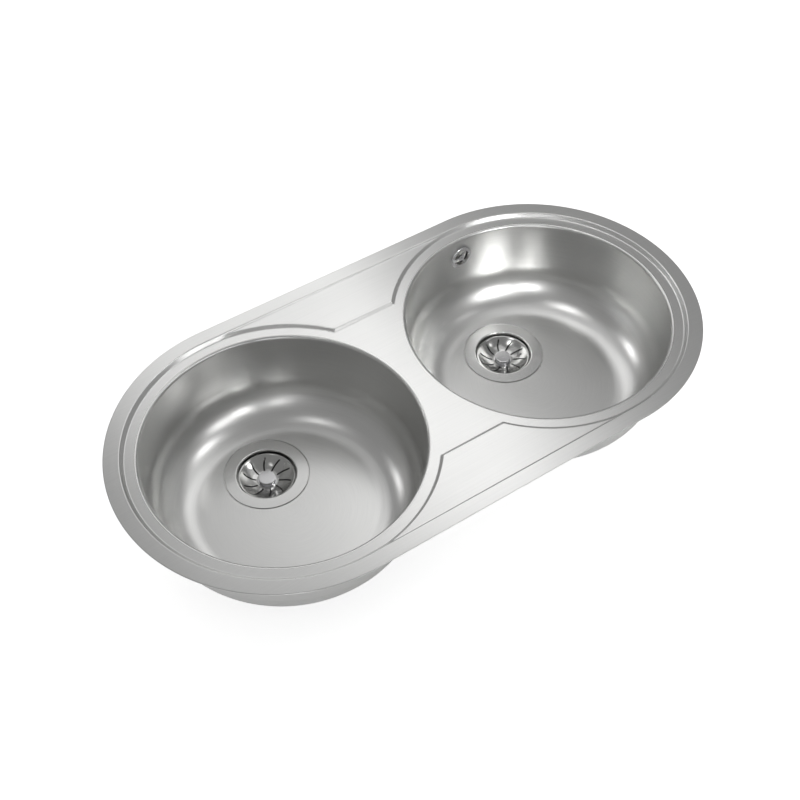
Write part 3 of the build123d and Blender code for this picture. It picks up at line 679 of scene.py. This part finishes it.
# ---------------------------------------------------------------- materials
class Nodes:
    """Short ways to add and join the nodes of a material or of the world."""

    def __init__(self, owner, shader="Principled BSDF"):
        owner.use_nodes = True
        self.owner = owner
        self.tree = owner.node_tree
        self.shader = self.tree.nodes[shader]

    def add(self, kind, **settings):
        node = self.tree.nodes.new("ShaderNode" + kind)
        for key, value in settings.items():
            setattr(node, key, value)
        return node

    def join(self, source, target):
        self.tree.links.new(source, target)

    def math(self, operation, first, second=None):
        node = self.add("Math", operation=operation)
        for socket, value in zip(node.inputs, (first, second)):
            if isinstance(value, (int, float)):
                socket.default_value = value
            elif value is not None:
                self.join(value, socket)
        return node.outputs[0]

    def noise(self, place, scale, detail, rough=0.5):
        node = self.add("TexNoise")
        node.inputs["Scale"].default_value = scale
        node.inputs["Detail"].default_value = detail
        node.inputs["Roughness"].default_value = rough
        self.join(place, node.inputs["Vector"])
        return node.outputs["Fac"]

    def ranged(self, value, low, high, out_low, out_high):
        node = self.add("MapRange")
        node.inputs["From Min"].default_value = low
        node.inputs["From Max"].default_value = high
        node.inputs["To Min"].default_value = out_low
        node.inputs["To Max"].default_value = out_high
        self.join(value, node.inputs["Value"])
        return node.outputs["Result"]

    def stretched(self, scale):
        """The part's own coordinates, in metres, scaled along each axis."""
        where = self.add("TexCoord").outputs["Object"]
        node = self.add("Mapping")
        node.inputs["Scale"].default_value = scale
        self.join(where, node.inputs["Vector"])
        return node.outputs["Vector"]

    def round(self, centre, radial, around, upward):
        """Coordinates that run round an upright axis: distance, turn and height, each scaled."""
        where = self.add("TexCoord").outputs["Object"]
        apart = self.add("SeparateXYZ")
        self.join(where, apart.inputs[0])
        x = self.math("SUBTRACT", apart.outputs[0], centre[0] * MM)
        y = self.math("SUBTRACT", apart.outputs[1], centre[1] * MM)
        square = self.math("ADD", self.math("MULTIPLY", x, x), self.math("MULTIPLY", y, y))
        distance = self.math("SQRT", square)
        turn = self.math("ABSOLUTE", self.math("ARCTAN2", y, x))
        joined = self.add("CombineXYZ")
        for i, (value, scale) in enumerate(((distance, radial), (turn, around), (apart.outputs[2], upward))):
            self.join(self.math("MULTIPLY", value, scale), joined.inputs[i])
        return joined.outputs[0]

    def tinted(self, value, dark, light):
        """The colour runs from dark to light with the value."""
        ramp = self.add("ValToRGB")
        ramp.color_ramp.elements[0].color = (*dark, 1)
        ramp.color_ramp.elements[1].color = (*light, 1)
        self.join(value, ramp.inputs["Fac"])
        self.join(ramp.outputs["Color"], self.shader.inputs["Base Color"])

    def bumped(self, value, strength, distance):
        bump = self.add("Bump")
        bump.inputs["Strength"].default_value = strength
        bump.inputs["Distance"].default_value = distance
        self.join(value, bump.inputs["Height"])
        self.join(bump.outputs["Normal"], self.shader.inputs["Normal"])


grain_depth = 0.00005  # in metres, as every depth of a material is
grain_share = 0.75  # the rest of the steel's unevenness is a large soft cloud
darker, lighter = 0.965, 1.03
flat_place, worn_edge = 0.5, 0.56  # how pointed the two are
edge_gloss = 0.06
gloss_spread = 0.06
noise_low, noise_high = 0.3, 0.7  # most of a noise's values lie between these


def brushed_steel(name, colour, roughness, grain, anisotropy=0.0, tangent=None, bump=0.04, spread=0.01):
    """Steel with fine grain lines; grain(nodes) gives the coordinates along which they are stretched."""
    nodes = Nodes(bpy.data.materials.new(name))
    nodes.shader.inputs["Metallic"].default_value = 1.0
    lines = nodes.noise(grain(nodes), 1.0, detail=4.0, rough=0.6)
    cloud = nodes.noise(nodes.add("TexCoord").outputs["Object"], 9.0, detail=2.0)
    shares = (nodes.math("MULTIPLY", lines, grain_share), nodes.math("MULTIPLY", cloud, 1 - grain_share))
    mixed = nodes.math("ADD", *shares)
    dark = tuple(c * darker for c in colour)
    light = tuple(c * lighter for c in colour)
    nodes.tinted(nodes.ranged(mixed, noise_low, noise_high, 0, 1), dark, light)
    pointed = nodes.add("NewGeometry").outputs["Pointiness"]
    worn = nodes.ranged(pointed, flat_place, worn_edge, 0.0, edge_gloss)
    rough = nodes.ranged(mixed, noise_low, noise_high, roughness + spread, roughness - spread)
    nodes.join(nodes.math("SUBTRACT", rough, worn), nodes.shader.inputs["Roughness"])
    nodes.bumped(lines, bump, grain_depth)
    nodes.shader.inputs["Anisotropic"].default_value = anisotropy
    if tangent is not None:
        nodes.join(tangent(nodes), nodes.shader.inputs["Tangent"])
    return nodes.owner


def grain_along(fine=900.0, coarse=9.0):
    """Grain lines that run straight along X."""
    return lambda nodes: nodes.stretched((coarse, fine, fine))


def grain_round(centre, radial=900.0, around=3.0, upward=900.0):
    """Grain lines that run round an upright axis, as a turned or spun piece has them."""
    return lambda nodes: nodes.round(centre, radial, around, upward)


def across_x(nodes):
    """The direction square to the deck's grain, the same everywhere."""
    joined = nodes.add("CombineXYZ")
    joined.inputs[1].default_value = 1.0
    return joined.outputs[0]


def plain(name, dark, light, roughness, grain, bump, depth, metallic=0.0):
    """Plastic, rubber or plated metal: a cloudy colour, a grainy gloss and a fine uneven skin."""
    nodes = Nodes(bpy.data.materials.new(name))
    nodes.shader.inputs["Metallic"].default_value = metallic
    place = nodes.add("TexCoord").outputs["Object"]
    skin = nodes.noise(place, grain, detail=5.0, rough=0.6)
    cloud = nodes.noise(place, grain / 30, detail=2.0)
    nodes.tinted(nodes.ranged(cloud, noise_low, noise_high, 0, 1), dark, light)
    rough = nodes.ranged(skin, noise_low, noise_high, roughness - gloss_spread, roughness + gloss_spread)
    nodes.join(rough, nodes.shader.inputs["Roughness"])
    nodes.bumped(skin, bump, depth)
    return nodes.owner


def foam(name, dark, light, cell):
    """Soft material with small open cells."""
    nodes = Nodes(bpy.data.materials.new(name))
    place = nodes.add("TexCoord").outputs["Object"]
    cells = nodes.add("TexVoronoi")
    cells.inputs["Scale"].default_value = cell
    nodes.join(place, cells.inputs["Vector"])
    nodes.tinted(cells.outputs["Distance"], dark, light)
    nodes.shader.inputs["Roughness"].default_value = 0.9
    nodes.bumped(cells.outputs["Distance"], 0.6, 0.0004)
    return nodes.owner


deck_colour = (0.78, 0.78, 0.77)
bowl_colour = (0.7, 0.7, 0.69)
polished = (0.82, 0.82, 0.83)
sheet_gloss = 0.29
waste_steels = {
    "flange_steel": dict(colour=(0.72, 0.72, 0.71), roughness=0.26, bump=0.03),
    "strainer_steel": dict(colour=(0.52, 0.52, 0.51), roughness=0.16, bump=0.02),
    "knob_steel": dict(colour=polished, roughness=0.12, bump=0.03),
    "screw_steel": dict(colour=(0.66, 0.66, 0.66), roughness=0.22, bump=0.05),
}
other_finishes = {
    "zinc_steel": dict(
        dark=(0.55, 0.57, 0.6), light=(0.68, 0.69, 0.7),
        roughness=0.38, grain=500.0, bump=0.15, depth=0.0001, metallic=1.0),
    "black_rubber": dict(
        dark=(0.03, 0.03, 0.03), light=(0.07, 0.07, 0.07),
        roughness=0.62, grain=1500.0, bump=0.3, depth=0.0001),
    "white_plastic": dict(
        dark=(0.8, 0.8, 0.77), light=(0.87, 0.87, 0.85),
        roughness=0.42, grain=900.0, bump=0.15, depth=0.0001),
    "hose_plastic": dict(
        dark=(0.7, 0.71, 0.72), light=(0.77, 0.78, 0.79),
        roughness=0.45, grain=800.0, bump=0.15, depth=0.0001),
    "hose_collar": dict(
        dark=(0.17, 0.17, 0.18), light=(0.22, 0.22, 0.23),
        roughness=0.35, grain=900.0, bump=0.15, depth=0.0001),
    "sound_pad": dict(
        dark=(0.15, 0.15, 0.16), light=(0.24, 0.24, 0.25),
        roughness=0.75, grain=350.0, bump=0.6, depth=0.0004),
}

materials = {name: plain(name, **finish) for name, finish in other_finishes.items()}
materials["foam"] = foam("foam", (0.1, 0.1, 0.11), (0.2, 0.2, 0.21), 900.0)
materials["deck_steel"] = brushed_steel(
    "deck_steel", deck_colour, sheet_gloss, grain_along(), anisotropy=0.45, tangent=across_x)
materials["rosette_steel"] = brushed_steel(
    "rosette_steel", polished, 0.2, grain_along(1200.0, 60.0), bump=0.03)
for side, sign in SIDES.items():
    name = f"bowl_steel_{side}"
    bowl_grain = grain_round((sign * bowl_x, 0), radial=700.0, around=2.0, upward=700.0)
    materials[name] = brushed_steel(name, bowl_colour, sheet_gloss, bowl_grain, bump=0.02, spread=0.006)
    waste_grain = grain_round((sign * bowl_x, drain_y))
    for steel, finish in waste_steels.items():
        name = f"{steel}_{side}"
        materials[name] = brushed_steel(name, grain=waste_grain, **finish)


def dress(piece, material):
    """Give a piece its material."""
    piece.data.materials.clear()
    piece.data.materials.append(materials[material])


dress(deck, "deck_steel")
dress(hose, "hose_plastic")
dress(seal, "foam")
for side in SIDES:
    dress(bowls[side], f"bowl_steel_{side}")
    dress(strainers[side], f"strainer_steel_{side}")
    dress(pads[side], "sound_pad")

slots = {part["node"]: part["material_slot"] for part in frame["record"]["subparts"]}
for name, node in frame["nodes"].items():
    slot = slots[name]
    side = "left" if name.endswith("left") else "right"
    if name.startswith(("overflow_rosette", "overflow_screw")):
        dress(node, "rosette_steel")
    else:
        dress(node, slot if slot in materials else f"{slot}_{side}")


# ---------------------------------------------------------------- camera
scene = bpy.context.scene


def turned(item, across, upward, back, place):
    """Add a camera or lamp that looks away from back, at a place in millimetres."""
    turn = Matrix((across, upward, back)).transposed().to_4x4()
    item.matrix_world = Matrix.Translation(Vector(place) * MM) @ turn
    scene.collection.objects.link(item)


def level_axes(back):
    """The level and the upward direction of something that looks away from back."""
    level = Vector((0, 0, 1)).cross(back).normalized()
    return level, back.cross(level)


view_turn = radians(-33.78)
view_height = radians(50.0)
view_roll = radians(0.14)
view_distance = 1570.82
view_target = Vector((-42.54, -25.95, rim_top))
film_width = 36.0
focal_length = 55.652

back = Vector((
    sin(view_turn) * cos(view_height),
    -cos(view_turn) * cos(view_height),
    sin(view_height),
))
level, raised = level_axes(back)
across = level * cos(view_roll) + raised * sin(view_roll)
upward = raised * cos(view_roll) - level * sin(view_roll)
camera_data = bpy.data.cameras.new("camera")
camera_data.sensor_width = film_width
camera_data.lens = focal_length
camera = bpy.data.objects.new("camera", camera_data)
turned(camera, across, upward, back, view_target + back * view_distance)
bpy.context.scene.camera = camera
scene.view_settings.view_transform = "Standard"

# ---------------------------------------------------------------- floor
floor_half = 6000.0
floor_gap = 0.5
floor_colour = (0.65, 0.65, 0.65, 1)
floor_glow = 0.6
floor_in_metal = 0.05
white = (1, 1, 1, 1)


def floor_paint():
    """Pale matt floor that looks white; its glow is for the camera, and a little of it for metal."""
    nodes = Nodes(bpy.data.materials.new("floor_paint"))
    nodes.shader.inputs["Base Color"].default_value = floor_colour
    nodes.shader.inputs["Roughness"].default_value = 0.9
    nodes.shader.inputs["Emission Color"].default_value = white
    path = nodes.add("LightPath")
    straight = nodes.math("MAXIMUM", path.outputs["Is Camera Ray"], path.outputs["Is Transmission Ray"])
    mirrored = nodes.math("MULTIPLY", path.outputs["Is Glossy Ray"], floor_in_metal)
    seen = nodes.math("MAXIMUM", nodes.math("MULTIPLY", straight, floor_glow), mirrored)
    nodes.join(seen, nodes.shader.inputs["Emission Strength"])
    return nodes.owner


floor_level = cad_box[0][2] / MM - floor_gap
corners = [(x * floor_half, y * floor_half, floor_level) for x, y in ((-1, -1), (1, -1), (1, 1), (-1, 1))]
floor_mesh = bpy.data.meshes.new("floor")
floor_mesh.from_pydata((np.array(corners) * MM).tolist(), [], [(0, 1, 2, 3)])
floor_mesh.update()
floor_mesh.materials.append(floor_paint())
stage_floor = bpy.data.objects.new("floor", floor_mesh)
scene.collection.objects.link(stage_floor)


# ---------------------------------------------------------------- lamps
middle = (0, 0, 0)
near_size = 420.0
far_size = 900.0
far_distance = 2200.0
beam_size = 500.0
beam_spread = 18
beam_distance = 2000.0
left_bowl = (-200, 0, -70)
right_bowl = (200, 0, -70)


def lamp(name, place, aim, size, strength, spread=180):
    """A square soft lamp; strength is how bright its face looks, where 1 is white."""
    data = bpy.data.lights.new(name, "AREA")
    data.shape = "SQUARE"
    data.size = size * MM
    data.spread = radians(spread)
    data.energy = pi * data.size**2 * strength
    back = (Vector(place) - Vector(aim)).normalized()
    light = bpy.data.objects.new(name, data)
    light.visible_camera = False
    turned(light, *level_axes(back), back, place)


def on_dome(turn, height, distance, centre):
    """A place at an angle round a centre, from +X towards +Y, and an angle above it."""
    a, e = radians(turn), radians(height)
    heading = (cos(a) * cos(e), sin(a) * cos(e), sin(e))
    return tuple(c + distance * h for c, h in zip(centre, heading))


def near_lamp(name, place, strength):
    """A lamp close to the part, aimed at its middle."""
    lamp(name, place, middle, near_size, strength)


def bank(name, turn, height, strength):
    """A large lamp far away, aimed at the part's middle."""
    lamp(name, on_dome(turn, height, far_distance, middle), middle, far_size, strength)


def beam(name, turn, height, bowl, strength):
    """A narrow lamp aimed at one bowl."""
    lamp(name, on_dome(turn, height, beam_distance, bowl), bowl, beam_size, strength, beam_spread)


near_lamp("front_bank", (400, -1100, 850), 2.6)
bank("rear_bank", 75, 38, 0.9)
bank("high_rear_bank", 45, 58, 0.32)
near_lamp("over_rear_right", (400, 500, 850), 0.7)
near_lamp("over_right", (400, 100, 850), 0.5)
near_lamp("over_rear", (0, 500, 850), 0.3)
bank("low_front", -125, 10, 0.8)
beam("right_bowl_front", -90, 32, right_bowl, 0.28)
beam("right_bowl_left", -120, 32, right_bowl, 0.12)
beam("right_bowl_high", 180, 70, right_bowl, 0.06)
beam("right_bowl_rear", 120, 32, right_bowl, 0.06)
beam("left_bowl_right", -30, 52, left_bowl, 0.06)

# ---------------------------------------------------------------- world
# White to the camera and through glass, plain light for matt surfaces, and dimmer in what metal mirrors.
room_light = 0.85
room_in_metal = 0.3
world = bpy.data.worlds.new("studio")
scene.world = world
room = Nodes(world, "Background")
room.shader.inputs["Color"].default_value = white
path = room.add("LightPath")
straight = room.math("MAXIMUM", path.outputs["Is Camera Ray"], path.outputs["Is Transmission Ray"])
matt = room.math("MULTIPLY", path.outputs["Is Diffuse Ray"], room_light)
indirect = room.math("MAXIMUM", matt, room_in_metal)
room.join(room.math("MAXIMUM", straight, indirect), room.shader.inputs["Strength"])
